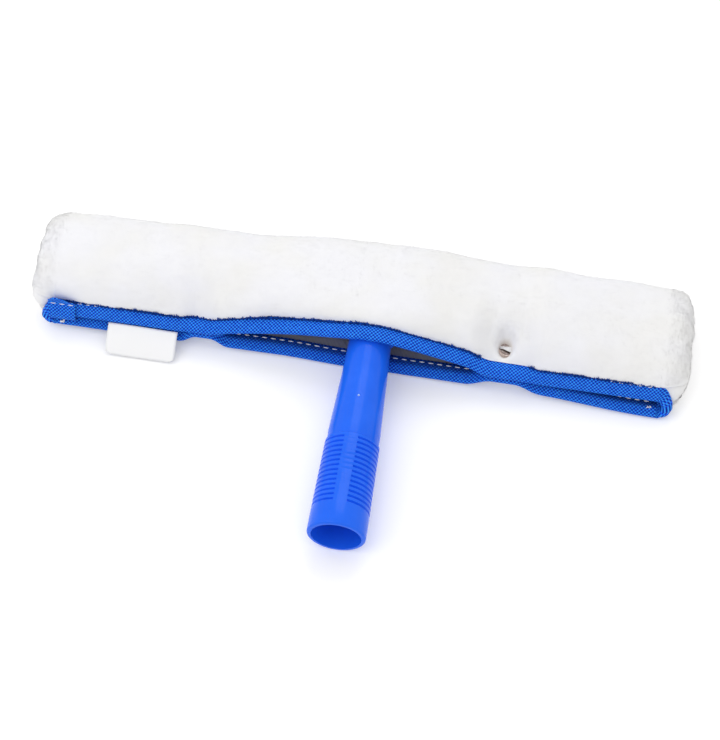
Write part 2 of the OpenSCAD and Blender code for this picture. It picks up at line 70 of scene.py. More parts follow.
# Studio: a pale floor, a white world and two large soft lamps, one in front on the left and one
# behind. The camera, gloss and glass see the floor and the world as white, and the floor keeps
# the scrubber's shadow.
def node_material(name):
    material = bpy.data.materials.new(name)
    material.use_nodes = True
    tree = material.node_tree
    return material, tree, tree.nodes["Principled BSDF"]


def add_node(tree, kind, **inputs):
    node = tree.nodes.new(kind)
    for key, value in inputs.items():
        node.inputs[key.replace("_", " ")].default_value = value
    return node


def link(tree, a, out, b, into):
    tree.links.new(a.outputs[out], b.inputs[into])


def math_node(tree, operation, *sources):
    """A Math node whose inputs are each a number or a node with the name of its output."""
    node = tree.nodes.new("ShaderNodeMath")
    node.operation = operation
    for i, source in enumerate(sources):
        if isinstance(source, tuple):
            link(tree, *source, node, i)
        else:
            node.inputs[i].default_value = source
    return node


def seen_white(tree):
    """1 for what the camera sees, directly or through gloss or glass, and 0 for the rest."""
    path = tree.nodes.new("ShaderNodeLightPath")
    seen = math_node(tree, "MAXIMUM", (path, "Is Camera Ray"), (path, "Is Glossy Ray"))
    return math_node(tree, "MAXIMUM", (seen, 0), (path, "Is Transmission Ray"))


def new_piece(name, mesh, material):
    for face in mesh.faces:
        face.smooth = True
    data = bpy.data.meshes.new(name)
    mesh.to_mesh(data)
    mesh.free()
    data.materials.append(material)
    piece = bpy.data.objects.new(name, data)
    scene.collection.objects.link(piece)
    return piece


white = (1, 1, 1, 1)
world = bpy.data.worlds.new("studio")
world.use_nodes = True
scene.world = world
world_tree = world.node_tree
background = world_tree.nodes["Background"]
background.inputs["Color"].default_value = white
strength = add_node(world_tree, "ShaderNodeMapRange", To_Min=0.78, To_Max=1.0)
link(world_tree, seen_white(world_tree), 0, strength, "Value")
link(world_tree, strength, "Result", background, "Strength")

floor_material, floor_tree, floor_shader = node_material("floor_white")
floor_shader.inputs["Base Color"].default_value = (0.95, 0.95, 0.95, 1)
floor_shader.inputs["Emission Color"].default_value = white
floor_shader.inputs["Roughness"].default_value = 0.9
floor_shader.inputs["Specular IOR Level"].default_value = 0.1
floor_lift = math_node(floor_tree, "MULTIPLY", (seen_white(floor_tree), 0), 0.2)
link(floor_tree, floor_lift, 0, floor_shader, "Emission Strength")
floor_mesh = bmesh.new()
bmesh.ops.create_grid(floor_mesh, x_segments=1, y_segments=1, size=4)
floor = new_piece("floor", floor_mesh, floor_material)


def soft_lamp(name, stand, size, power):
    """A square lamp that points at the scrubber."""
    data = bpy.data.lights.new(name, "AREA")
    data.size = size
    data.energy = power
    lamp = bpy.data.objects.new(name, data)
    scene.collection.objects.link(lamp)
    turn = (-Vector(stand)).to_track_quat("-Z", "Y").to_matrix().to_4x4()
    lamp.matrix_world = Matrix.Translation(stand) @ turn


soft_lamp("lamp_left", (-0.9, -0.4, 1.3), 1.5, 5.6)
soft_lamp("lamp_back", (0.05, 1.0, 1.3), 0.9, 4.2)


# Handle: one glossy blue moulding with a pole socket, a ribbed grip with a plain panel, a neck
# and the saddle round the crossbar. The solid is the real shape, so its faces are only joined
# and shaded smooth between the sharp edges. Its grooves are sunk deeper, and the mark of the
# moulding gate is added on the neck, coloured pale blue as a painted highlight.
def object_point(tree):
    return tree.nodes.new("ShaderNodeTexCoord"), "Object"


def noise_node(tree, source, scale, detail=3.0, roughness=0.5):
    texture = add_node(tree, "ShaderNodeTexNoise", Scale=scale, Detail=detail, Roughness=roughness)
    link(tree, *source, texture, "Vector")
    return texture


def colour_ramp(tree, source, out, stops):
    ramp = tree.nodes.new("ShaderNodeValToRGB")
    points = ramp.color_ramp.elements
    while len(points) < len(stops):
        points.new(0.5)
    for point, (place, colour) in zip(points, stops):
        point.position = place
        point.color = (*colour, 1)
    link(tree, source, out, ramp, "Fac")
    return ramp


def bump_node(tree, source, out, distance, strength=1.0):
    bump = add_node(tree, "ShaderNodeBump", Strength=strength, Distance=distance)
    link(tree, source, out, bump, "Height")
    return bump


def moulded_plastic(name, dark, light, roughness):
    material, tree, shader = node_material(name)
    mottle = noise_node(tree, object_point(tree), 90, 2)
    ramp = colour_ramp(tree, mottle, "Fac", [(0.3, dark), (0.7, light)])
    link(tree, ramp, "Color", shader, "Base Color")
    shader.inputs["Roughness"].default_value = roughness
    shader.inputs["IOR"].default_value = 1.5
    shader.inputs["Specular IOR Level"].default_value = 0.18
    ripple = noise_node(tree, object_point(tree), 260, 3)
    bump = bump_node(tree, ripple, "Fac", 0.00006, 0.5)
    link(tree, bump, "Normal", shader, "Normal")
    return material


handle_blue = moulded_plastic("handle_blue", (0.012, 0.135, 0.9), (0.016, 0.15, 0.95), 0.16)
# Painted highlight: the gate mark is coloured pale blue in place of the glint it catches.
gate_painted_glint = moulded_plastic("gate_painted_glint", (0.3, 0.5, 0.95), (0.5, 0.68, 1.0), 0.5)
sharp_angle = math.radians(28)
handle_line = Vector((0.009, 0, 0.0152))
sleeve_line_y = 0.053825
grip_start, grip_length = 0.088, 0.041
grip_radius, grip_flare = 0.0142, 0.0008
groove_floor, groove_top, groove_extra = 0.00075, 0.00025, 0.0005
gate_place = handle_line + Vector((0, -0.012, 0.01305))
gate_size = (0.0006, 0.0006, 0.0005, 1)

handle_mesh = bmesh.new()
handle_mesh.from_mesh(nodes["handle"].data)
bmesh.ops.remove_doubles(handle_mesh, verts=handle_mesh.verts, dist=2e-6)
for vert in handle_mesh.verts:
    along = sleeve_line_y - vert.co.y - grip_start
    out = Vector((vert.co.x - handle_line.x, 0, vert.co.z - handle_line.z))
    sunk = grip_radius + grip_flare * along / grip_length - out.length
    if 0 < along < grip_length and groove_top < sunk < groove_floor:
        vert.co -= out.normalized() * groove_extra
gate = bmesh.ops.create_uvsphere(handle_mesh, u_segments=12, v_segments=8, radius=1,
                                 matrix=Matrix.Translation(gate_place) @ Matrix.Diagonal(gate_size))
for vert in gate["verts"]:
    for face in vert.link_faces:
        face.material_index = 1
for edge in handle_mesh.edges:
    edge.smooth = len(edge.link_faces) == 2 and edge.calc_face_angle(0) < sharp_angle
handle = new_piece("handle_moulding", handle_mesh, handle_blue)
handle.data.materials.append(gate_painted_glint)
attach(handle, "scrubber")
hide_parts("handle")


# Crossbar, its end plugs and the screws of the saddle: hidden in the sleeve, seen only through
# the open mouth. Their solids stay, with a satin plastic and a brushed steel.
bar_blue = moulded_plastic("bar_blue", (0.018, 0.09, 0.6), (0.022, 0.1, 0.66), 0.45)
screw_steel, screw_tree, screw_shader = node_material("screw_steel")
screw_shader.inputs["Metallic"].default_value = 1.0
screw_shader.inputs["Base Color"].default_value = (0.55, 0.55, 0.56, 1)
screw_grain = noise_node(screw_tree, object_point(screw_tree), 1500, 2)
screw_gloss = add_node(screw_tree, "ShaderNodeMapRange", To_Min=0.25, To_Max=0.45)
link(screw_tree, screw_grain, "Fac", screw_gloss, "Value")
link(screw_tree, screw_gloss, "Result", screw_shader, "Roughness")


def finish_node(name, material):
    data = nodes[name].data
    data.materials.clear()
    data.materials.append(material)


for name in ("crossbar", "end_plug_left", "end_plug_right"):
    finish_node(name, bar_blue)
finish_node("saddle_screws", screw_steel)


# Plush pile: dense white fibre about 7 mm high on a knitted ground, brushed smooth. Its body is a
# soft lumpy skin over sections of the sleeve, in millimetres from the sleeve's middle and the
# handle's axis, and thousands of fine tufts stand out of it and blur its outline.
half_len, mouth_x = 177.5, 162.3
end_x = mouth_x + 0.2
stud_x, stud_reach, cap_clear = 81.0, 19.5, 6.5
handle_x, neck_half = 9.0, 6
pile_h, pile_steps, backing_t = 7.0, 34, 1.2
tape_w, tape_half = 9.5, 1.6
crown_z, crown_y, crown_bow = 20.3, 2, 2.5
back_base, saddle_rise, low_flat_y = 31.2, 2.65, 14
floor_z, under_z = -15.2, -9.8
stud_up_z, stud_low_z, stud_sink = -0.6, -5.8, 1.5
hem_stud_z, low_stud_z, stud_fold_y = -1.4, -5.0, -35
hem_y, hem_free_z, hem_lift, hem_flat = -33.5, -4.5, 40, 4
low_y, low_free_z, low_lift, low_flat = -35.5, -10.6, 8, 16
neck_rise, neck_radius, neck_gap = 3.2 * 0.57, (12.24 + 11) / 2, 0.3
hem_neck_z = neck_rise + neck_radius + neck_gap + tape_half
low_neck_z = floor_z + tape_half + 0.1
cloth_sharp_angle = math.radians(62)
shift = Vector((0, 53.825, 15.2))


def place(x, y, z):
    return (Vector((x, y, z)) + shift) / 1000


def mix(a, b, t):
    return a + (b - a) * t


def clamp01(t):
    return max(0.0, min(1.0, t))


def smooth(t):
    t = clamp01(t)
    return t * t * (3 - 2 * t)


def heading(degrees):
    return np.array([math.cos(math.radians(degrees)), math.sin(math.radians(degrees))])


def bezier(p, t):
    return (1 - t) ** 3 * p[0] + 3 * (1 - t) ** 2 * t * p[1] + 3 * (1 - t) * t * t * p[2] + t ** 3 * p[3]


def curve(corners, n):
    return [bezier(corners, i / n) for i in range(n + 1)]


def neck_pull(x):
    span = stud_x + (handle_x if x < handle_x else -handle_x)
    u = clamp01((abs(x - handle_x) - neck_half) / (span - neck_half))
    return (1 - u) * (1 + 0.35 * u)


def stud_pull(x):
    near, fade = (4, 9) if x < 0 else (6, 14)
    return 1 - smooth((abs(abs(x) - stud_x) - near) / fade)


def saddle_pull(x):
    return 1 - smooth((abs(x - handle_x) - 24) / 34)


def crown(x):
    bow = crown_bow * (1 - (x / mouth_x) ** 2)
    return crown_z + bow + saddle_rise * saddle_pull(x) - stud_sink * stud_pull(x)


def back(x):
    return back_base + saddle_rise * saddle_pull(x)


def point(*yz):
    return np.array(yz, float)


def hem_lean(x):
    """The hem isn't square to the handle: it runs back on the left and forward on the right."""
    return -0.019 * x + 1.5 * smooth(-x / 40)


def end_sag(x):
    """The right end of the sleeve has slumped, from 0 at its middle to 1 at the seam."""
    return smooth((x - 90) / 70)


def fold_slope(x, free, rise):
    """Slope of the tape in degrees; beside a press stud it meets the flat cloth there."""
    return mix(free, math.degrees(math.asin(rise / tape_w)), stud_pull(x))


def hem_slope(x):
    return fold_slope(x, mix(hem_lift, hem_flat, smooth(neck_pull(x) * 1.4)), stud_up_z - hem_stud_z)


def hem_fold(x):
    free = mix(point(hem_y, hem_free_z), point(hem_y, hem_neck_z), neck_pull(x))
    return mix(free, point(stud_fold_y, hem_stud_z), stud_pull(x)) + point(hem_lean(x), 0)


def low_slope(x):
    return fold_slope(x, mix(low_lift, low_flat, neck_pull(x)), stud_low_z - low_stud_z)


def low_fold(x):
    free = mix(point(low_y, low_free_z), point(hem_y, low_neck_z), neck_pull(x))
    sag = end_sag(x)
    fold = mix(free, point(stud_fold_y, low_stud_z), stud_pull(x))
    return fold + point(hem_lean(x) - 2.5 * sag, -2.6 * sag)


def back_arc(y0, w, h, square, n):
    return [point(y0 + w * math.sin(a) ** square, h * max(0.0, math.cos(a)) ** square)
            for a in (math.pi / 2 * i / n for i in range(1, n + 1))]


def flat_len(x):
    return mix(1.5, -stud_fold_y - tape_w - stud_reach + cap_clear, stud_pull(x))


def upper_cloth(x, off, n=10):
    e, s, p = hem_fold(x), hem_slope(x), stud_pull(x)
    t = e + tape_w * heading(s)
    k = t + flat_len(x) * heading(mix(s, 0, p))
    h, w = crown(x) - pile_h - backing_t / 2, back(x) - pile_h - backing_t / 2 - crown_y
    p1 = k + mix(7, 3, p) * heading(mix(s, 35, p))
    lift = off * heading(s + 90)
    c = [k + lift, p1 + lift, point(-9, h + off), point(crown_y, h + off)]
    return [t + lift] + curve(c, n) + back_arc(crown_y, w + off, h + off, 0.5, n)


def upper_pile(x):
    e, s, p, sag = hem_fold(x), hem_slope(x), stud_pull(x), end_sag(x)
    t, h, w = e + tape_w * heading(s), crown(x) - 3.5 * sag, back(x) - 1.5 * sag
    if x < 0:
        h += stud_sink * p
        p = 0.3 * (1 - smooth((abs(x + stud_x) - 6) / 24))
    a = t + (tape_half + 1) * heading(s + 90) - 1.2 * heading(s)
    c = [a, a + mix(point(-1.5, 7), point(4, 4.5), p),
         point(crown_y - mix(15, 10, p), h - stud_sink * p), point(crown_y, h)]
    return ([t + tape_half * heading(s + 90)] + curve(c, pile_steps)
            + back_arc(crown_y, w - crown_y, h, 0.85, pile_steps))


def lower_cloth(x, off, n=8):
    e, s, p = low_fold(x), low_slope(x), stud_pull(x)
    t, z = e + tape_w * heading(s), under_z - off
    k = t + flat_len(x) * heading(mix(s, 0, p))
    c = [k - point(0, off), k + point(3, -off), point(-8, z), point(-3, z)]
    w = back(x) - pile_h - backing_t / 2 + off
    return ([t - off * heading(s + 90)] + curve(c, n) + [point(low_flat_y, z)]
            + back_arc(low_flat_y, w - low_flat_y, z, 1, n))


def lower_pile(x, n=14):
    e, s = low_fold(x), low_slope(x)
    t, z = e + tape_w * heading(s), floor_z
    a = t - point(1.5, tape_half + 1)
    c = [a, point(a[0] - 1.5, (a[1] + z) / 2 - 1), point(-26, z), point(-19, z)]
    return ([t - tape_half * heading(s + 90)] + curve(c, n) + [point(low_flat_y, z)]
            + back_arc(low_flat_y, back(x) - low_flat_y, z, 1, n))


def swept_shell(sections):
    """Skin over closed sections, each a list of places, with a UV in millimetres."""
    rows, columns = len(sections), len(sections[0]) + 1
    mesh = bmesh.new()
    uv = mesh.loops.layers.uv.new("cloth")
    bmesh.ops.create_grid(mesh, x_segments=columns - 1, y_segments=rows - 1, size=1)
    around, along = {}, {}
    for vert in mesh.verts:
        j = round((vert.co.x + 1) / 2 * (columns - 1))
        i = round((vert.co.y + 1) / 2 * (rows - 1))
        around[vert], along[vert] = j, i
        vert.co = sections[i][j % (columns - 1)]
    lengths = [[0.0] for _ in sections]
    for i, ring in enumerate(sections):
        for j in range(1, columns):
            lengths[i].append(lengths[i][-1] + (ring[j % (columns - 1)] - ring[j - 1]).length * 1000)
    for face in mesh.faces:
        for loop in face.loops:
            i, j = along[loop.vert], around[loop.vert]
            loop[uv].uv = (sections[i][0].x * 1000, lengths[i][j])
    bmesh.ops.remove_doubles(mesh, verts=mesh.verts, dist=1e-7)
    bmesh.ops.holes_fill(mesh, edges=[e for e in mesh.edges if e.is_boundary], sides=0)
    bmesh.ops.triangulate(mesh, faces=[f for f in mesh.faces if len(f.verts) > 4])
    bmesh.ops.recalc_face_normals(mesh, faces=mesh.faces)
    for edge in mesh.edges:
        edge.smooth = edge.calc_face_angle(0) < cloth_sharp_angle
    return mesh


def attribute_node(tree, name):
    node = tree.nodes.new("ShaderNodeAttribute")
    node.attribute_name = name
    return node, "Fac"


def tint(tree, base, colour, amount):
    """The base colour, mixed by the amount towards another colour."""
    node = tree.nodes.new("ShaderNodeMix")
    node.data_type = "RGBA"
    node.inputs["B"].default_value = (*colour, 1)
    link(tree, *amount, node, "Factor")
    link(tree, *base, node, "A")
    return node, "Result"


plush_white, plush_tree, plush_shader = node_material("plush_white")
plush_mottle = noise_node(plush_tree, object_point(plush_tree), 30, 2, 0.5)
plush_ramp = colour_ramp(plush_tree, plush_mottle, "Fac", [
    (0.35, (0.9, 0.895, 0.885)), (0.6, (0.915, 0.915, 0.945))])
# Painted shade: the pile pressed into the pit round the stud is tinted brown, most where it is pressed
# deepest.
plush_press = attribute_node(plush_tree, "press")
plush_dimple_shade = tint(plush_tree, (plush_ramp, "Color"), (0.66, 0.59, 0.53), plush_press)
plush_place = plush_tree.nodes.new("ShaderNodeSeparateXYZ")
link(plush_tree, *object_point(plush_tree), plush_place, "Vector")
# Painted shade: the pile is tinted towards a darker cream from 14 mm over the floor down to 2 mm.
plush_floor_shade = add_node(plush_tree, "ShaderNodeMapRange",
                     From_Min=0.002, From_Max=0.014, To_Min=0.45, To_Max=0.0)
link(plush_tree, plush_place, "Z", plush_floor_shade, "Value")
plush_shaded_colour = tint(plush_tree, plush_dimple_shade, (0.8, 0.76, 0.7), (plush_floor_shade, "Result"))
link(plush_tree, *plush_shaded_colour, plush_shader, "Base Color")
plush_shader.inputs["Roughness"].default_value = 1.0
plush_shader.inputs["Specular IOR Level"].default_value = 0.1
plush_shader.inputs["Sheen Weight"].default_value = 0.25
plush_shader.inputs["Sheen Roughness"].default_value = 0.5
plush_fibre = noise_node(plush_tree, object_point(plush_tree), 1400, 3, 0.7)
plush_bump = bump_node(plush_tree, plush_fibre, "Fac", 0.0004, 0.12)
link(plush_tree, plush_bump, "Normal", plush_shader, "Normal")


def lumps(co):
    slow = noise.noise(co * 38) * 0.9 + noise.noise(co * 90) * 0.5
    fine = noise.noise(co * 260) * 0.12
    return (slow + fine) / 1000


opening_shift, opening_radii = (-0.9, -0.7), (4.4, 6.2)


def stud_dimple(co):
    """How far the pile is pressed down beside a press stud, from 0 to 1."""
    across = (co.x * 1000 - stud_x - opening_shift[0]) / opening_radii[0]
    along = (co.y * 1000 - shift.y + stud_reach - opening_shift[1]) / opening_radii[1]
    return 1 / (1 + (across ** 2 + along ** 2) ** 3)


def cloth_height(x, y):
    line = upper_cloth(x, backing_t / 2)[:12]
    return float(np.interp(y, [p[0] for p in line], [p[1] for p in line]))


def ruffle(mesh, shown):
    """Moves the skin that shows along its normals, and never below the surface it lies on."""
    mesh.normal_update()
    moved = [(v, v.normal.copy()) for v in mesh.verts if shown(v)]
    for vert, normal in moved:
        if any(not edge.smooth for edge in vert.link_edges):
            normal.x = 0
            normal.normalize()
        vert.co += normal * lumps(vert.co)
        vert.co.z = max(vert.co.z, 0)


tuft_width, tuft_sunk, tuft_scatter, tuft_lean = 0.00014, 0.0005, 0.28, (0, -0.12, -0.05)


def add_tufts(piece, count, seed, length, keep):
    """Fine tufts on the faces that keep() accepts, each a thin three-sided cone leaning a little."""
    tuft = bmesh.new()
    bmesh.ops.create_cone(tuft, cap_ends=True, segments=3, radius1=1, radius2=0, depth=1)
    bmesh.ops.triangulate(tuft, faces=tuft.faces)
    bmesh.ops.remove_doubles(tuft, verts=tuft.verts, dist=1e-5)
    tuft.verts.index_update()
    shape = np.array([v.co for v in tuft.verts]) + (0, 0, 0.5)
    shape_faces = np.array([[v.index for v in f.verts] for f in tuft.faces])
    tuft.free()
    data = piece.data
    body_normals = []
    for loop, corner in zip(data.loops, data.corner_normals):
        n = corner.vector.copy()
        from_middle = abs(data.vertices[loop.vertex_index].co.x)
        at_joint = min(from_middle, abs(from_middle - end_x / 1000)) < 1e-6
        if at_joint and abs(n.x) < 0.7:
            n.x = 0
            n.normalize()
        body_normals.append(tuple(n))
    data.calc_loop_triangles()
    corners = np.array([t.vertices for t in data.loop_triangles])
    co = np.array([v.co for v in data.vertices])
    normals = np.array([v.normal for v in data.vertices])
    middles, facing = co[corners].mean(1), normals[corners].mean(1)
    chosen = np.array([keep(m, n) for m, n in zip(middles, facing)])
    corners = corners[chosen]
    a, b, c = (co[corners[:, i]] for i in range(3))
    area = np.linalg.norm(np.cross(b - a, c - a), axis=1)
    rng = np.random.default_rng(seed)
    pick = rng.choice(len(corners), count, p=area / area.sum())
    u, v = rng.random((2, count))
    flip = u + v > 1
    u[flip], v[flip] = 1 - u[flip], 1 - v[flip]
    root = a[pick] + u[:, None] * (b - a)[pick] + v[:, None] * (c - a)[pick]
    up = normals[corners[pick]].mean(1)
    up += rng.normal(0, tuft_scatter, (count, 3)) + tuft_lean
    up /= np.linalg.norm(up, axis=1)[:, None]
    side = np.cross(up, rng.normal(size=(count, 3)))
    side /= np.linalg.norm(side, axis=1)[:, None]
    other = np.cross(up, side)
    tall = length * rng.uniform(0.6, 1.25, count)
    wide = tuft_width * rng.uniform(0.7, 1.3, count)
    root -= up * tuft_sunk
    points = (root[:, None] + side[:, None] * (shape[:, 0] * wide[:, None])[..., None]
              + other[:, None] * (shape[:, 1] * wide[:, None])[..., None]
              + up[:, None] * (shape[:, 2] * tall[:, None])[..., None])
    faces = shape_faces[None] + (np.arange(count) * len(shape))[:, None, None]
    tufts = bpy.data.meshes.new(piece.name + "_tufts")
    tufts.from_pydata(points.reshape(-1, 3).tolist(), [], faces.reshape(-1, 3).tolist())
    joined = bmesh.new()
    joined.from_mesh(data)
    joined.from_mesh(tufts)
    joined.to_mesh(data)
    joined.free()
    bpy.data.meshes.remove(tufts)
    lying = np.repeat(normals[corners[pick]].mean(1), 3 * len(shape_faces), axis=0)
    data.normals_split_custom_set(body_normals + lying.tolist())


def spaced(x0, x1, step):
    n = max(1, round(abs(x1 - x0) / step))
    return [mix(x0, x1, i / n) for i in range(n + 1)]


def spaced_round_stud(x0, x1, step):
    """Closer sections beside the press stud that shows, where the pile is parted."""
    if x1 < stud_x:
        return spaced(x0, x1, step)
    before, after = stud_x - 12, stud_x + 12
    return spaced(x0, before, step) + spaced(before, after, 0.7)[1:] + spaced(after, x1, step)[1:]


def ring(x, outer, inner):
    return [place(x, *p) for p in outer] + [place(x, *p) for p in reversed(inner)]


half_seam = 0.04


def held_up(points):
    """Behind the crown the upper cloth stays just over the plane where it meets the lower one."""
    return [point(p[0], max(p[1], half_seam)) if p[0] > crown_y else p for p in points]


def held_down(points):
    return [point(p[0], min(p[1], -half_seam)) if p[0] > crown_y else p for p in points]


tuft_count = 20000
hands = {"left": -1, "right": 1}
sides = {"left": (-end_x, 0.0, -1), "right": (0.0, end_x, 1)}


def lift_with_mouth(piece):
    """Bakes the piece's place into its mesh; the piece is left without a body."""
    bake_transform(piece)


def add_strand(mesh, root, tip, thick, thin, corners=4):
    """A thread or a strand of fibre: a thin cone from its root to its tip."""
    run = tip - root
    turn = run.to_track_quat("Z", "Y").to_matrix().to_4x4()
    bmesh.ops.create_cone(mesh, cap_ends=True, segments=corners, radius1=thick, radius2=thin,
                          depth=run.length, matrix=Matrix.Translation((root + tip) / 2) @ turn)


def add_lock(mesh):
    """A lock of pile that has fallen across the cap of the right press stud."""
    lock_random = random.Random(3)
    for _ in range(46):
        along = lock_random.gauss(0, 0.6)
        root = place(stud_x + 4.4 + 0.5 * along, -stud_reach - 0.6 + 1.6 * along, stud_up_z + 2.9)
        tip = place(stud_x - lock_random.uniform(0, 5.6),
                    -stud_reach + 0.8 + 0.7 * lock_random.gauss(0, 0.7),
                    stud_up_z + lock_random.uniform(2.3, 2.7))
        add_strand(mesh, root, tip, 0.00032, 0.00008)


def top_tufted(m, n):
    open_side = n[2] > -0.3 and (n[2] > 0.1 or m[1] > 0.05)
    return open_side and m[2] > 0.012 and stud_dimple(Vector(m)) < 0.45


for name, (x0, x1, side) in sides.items():
    rings = [ring(x, held_up(upper_pile(x)), held_up(upper_cloth(x, backing_t / 2 + 0.1)))
             for x in spaced_round_stud(x0, x1, 1.8)]
    mesh = swept_shell(rings)
    outer = {tuple(round(c, 7) for c in p) for r in rings for p in r[1:2 * pile_steps + 1]}
    ruffle(mesh, lambda v: tuple(round(c, 7) for c in v.co) in outer)
    # Painted shade of the pit round the stud, stored by how deep the pile is pressed.
    dimple_shade = mesh.verts.layers.float.new("press")
    for vert in mesh.verts:
        press = stud_dimple(vert.co)
        if press > 0.01 and vert.co.z > place(0, 0, stud_up_z + 0.7).z:
            ground = cloth_height(vert.co.x * 1000, vert.co.y * 1000 - shift.y)
            vert.co.z = mix(vert.co.z, place(0, 0, max(stud_up_z + 0.9, ground + 0.4)).z, press)
            vert[dimple_shade] = 0.8 * smooth((press - 0.6) / 0.35)
    if side > 0:
        add_lock(mesh)
    piece = new_piece("plush_top_" + name, mesh, plush_white)
    add_tufts(piece, tuft_count, 11 + side, 0.00096, top_tufted)
    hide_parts("plush_upper")
    lift_with_mouth(piece)

    rings = [ring(x, held_down(lower_pile(x)), held_down(lower_cloth(x, backing_t / 2 + 0.1)))
             for x in spaced(x0, x1, 3)]
    mesh = swept_shell(rings)
    ruffle(mesh, lambda v: v.co.y > place(0, -20, 0).y and v.co.z < 0.006 or v.co.y > place(0, 27, 0).y)
    piece = new_piece("plush_under_" + name, mesh, plush_white)
    add_tufts(piece, tuft_count // 4, 31 + side, 0.0014,
              lambda m, n: m[2] > 0.003 and (m[1] > 0.07 or (m[1] < 0.032 and n[1] < -0.1)))
    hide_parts("plush_lower")
    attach(piece, "scrubber")


# Sewn ends: the plush is closed beside the mouth with a seam that pulls the pile into a groove.
# The cloth is gathered there, so the pile bulges round the groove and stands tousled.
def end_ring(side, grow):
    outline = upper_pile(side * mouth_x) + list(reversed(lower_pile(side * mouth_x)))
    low, high = outline[-1], outline[0]
    bulge = 4.5 * smooth(grow / 0.4)
    outline += [mix(low, high, t) - point(bulge * math.sin(math.pi * t), 0)
                for t in (0.15, 0.32, 0.5, 0.68, 0.85)]
    angle = math.pi / 2 * grow
    x = end_x + (half_len - end_x) * math.sin(angle) ** 0.85
    shrink = math.cos(angle) ** 0.75
    places = []
    for y, z in outline:
        y = mix(4 + (y - 4) * 0.58, y, shrink)
        z *= shrink
        groove = 2.2 * math.exp(-(z / 1.8) ** 2)
        groove *= smooth((grow - 0.35) / 0.4) * smooth((y + 12) / 10)
        places.append(place(side * (x - groove), y, z))
    return places


end_growth = (0, 0.06, 0.13, 0.2, 0.28, 0.36, 0.44, 0.52, 0.6, 0.68, 0.76, 0.84, 0.91, 0.96, 0.995)
for name, side in hands.items():
    mesh = swept_shell([end_ring(side, grow) for grow in end_growth])
    for edge in mesh.edges:
        if max(abs(v.co.x) for v in edge.verts) * 1000 > end_x + 0.1:
            edge.smooth = True
    ruffle(mesh, lambda v: abs(v.co.x) * 1000 > end_x + 0.1 or v.co.y > place(0, -20, 0).y)
    mesh.normal_update()
    tousled = [(v, v.normal * smooth((abs(v.co.x) * 1000 - mouth_x - 3) / 7)) for v in mesh.verts]
    for vert, reach in tousled:
        vert.co += reach * (noise.noise(vert.co * 150) * 0.0013 + noise.noise(vert.co * 340) * 0.0006)
        vert.co.z = max(vert.co.z, 0)
    piece = new_piece("plush_end_cap_" + name, mesh, plush_white)
    add_tufts(piece, tuft_count // 3, 51 + side, 0.0012,
              lambda m, n: m[2] > 0.002 and n[0] * side > -0.2 and not (n[1] < -0.4 and m[2] < 0.02))
    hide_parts("plush_end_" + name)
    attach(piece, "scrubber")


# Knitted ground of the plush: a thin pale cloth that lines the sleeve, seen through the mouth.
# It is knitted of fine yarn, carries the pile on its other face, and is drawn over the crossbar.
knit_painted_shade, knit_tree, knit_shader = node_material("knit_painted_shade")
knit_wave = add_node(knit_tree, "ShaderNodeTexWave", Scale=420.0, Distortion=1.5, Detail=1.0)
link(knit_tree, *object_point(knit_tree), knit_wave, "Vector")
# Painted shade: the pale knit is coloured dark grey, with the shade inside the mouth painted into it.
knit_ramp = colour_ramp(knit_tree, knit_wave, "Fac", [
    (0.0, (0.24, 0.235, 0.235)), (1.0, (0.37, 0.355, 0.35))])
link(knit_tree, knit_ramp, "Color", knit_shader, "Base Color")
link(knit_tree, bump_node(knit_tree, knit_wave, "Fac", 0.0003, 0.6), "Normal", knit_shader, "Normal")
knit_shader.inputs["Roughness"].default_value = 0.95


def ground_ring(x, e, s, upper, lower):
    """The ground starts inside the folded tape and follows the middle of the cloth."""
    start, half = e + 1.8 * heading(s), backing_t / 2 * heading(s + 90)
    return ring(x, [start + half] + upper, [start - half] + lower)


for name, (x0, x1, side) in sides.items():
    rings = [ground_ring(x, hem_fold(x), hem_slope(x), held_up(upper_cloth(x, 0.6)),
                         held_up(upper_cloth(x, -0.6))) for x in spaced(x0, x1, 3)]
    piece = new_piece("ground_top_" + name, swept_shell(rings), knit_painted_shade)
    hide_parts("backing_upper")
    lift_with_mouth(piece)
    rings = [ground_ring(x, low_fold(x), low_slope(x), held_down(lower_cloth(x, -0.6)),
                         held_down(lower_cloth(x, 0.6))) for x in spaced(x0, x1, 3)]
    piece = new_piece("ground_under_" + name, swept_shell(rings), knit_painted_shade)
    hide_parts("backing_lower")
    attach(piece, "scrubber")


# Binding tape: a blue ribbed webbing folded round the raw edge of the mouth. Its warp stands in
# staggered knots about a millimetre apart, which catch the light.
tape_blue, tape_tree, tape_shader = node_material("tape_blue")
knot_pitch = 1.9
tape_uv = tape_tree.nodes.new("ShaderNodeUVMap")
tape_uv.uv_map = "cloth"
tape_split = tape_tree.nodes.new("ShaderNodeSeparateXYZ")
link(tape_tree, tape_uv, "UV", tape_split, "Vector")


def sine_of(tree, source, pitch):
    return math_node(tree, "SINE", (math_node(tree, "MULTIPLY", source, 2 * math.pi / pitch), 0))


across = sine_of(tape_tree, (tape_split, "X"), knot_pitch * 1.05)
up_tape = sine_of(tape_tree, (tape_split, "Y"), knot_pitch)
knots = math_node(tape_tree, "MULTIPLY", (across, 0), (up_tape, 0))
yarn = noise_node(tape_tree, object_point(tape_tree), 700, 3)
yarn_knots = math_node(tape_tree, "ADD", (knots, 0), (yarn, "Fac"))
knot_level = add_node(tape_tree, "ShaderNodeMapRange", From_Min=-0.5, From_Max=1.5)
link(tape_tree, yarn_knots, 0, knot_level, "Value")
tape_ramp = colour_ramp(tape_tree, knot_level, "Result", [
    (0.26, (0.001, 0.024, 0.33)), (0.5, (0.003, 0.108, 1.0)), (0.78, (0.05, 0.38, 1.0))])
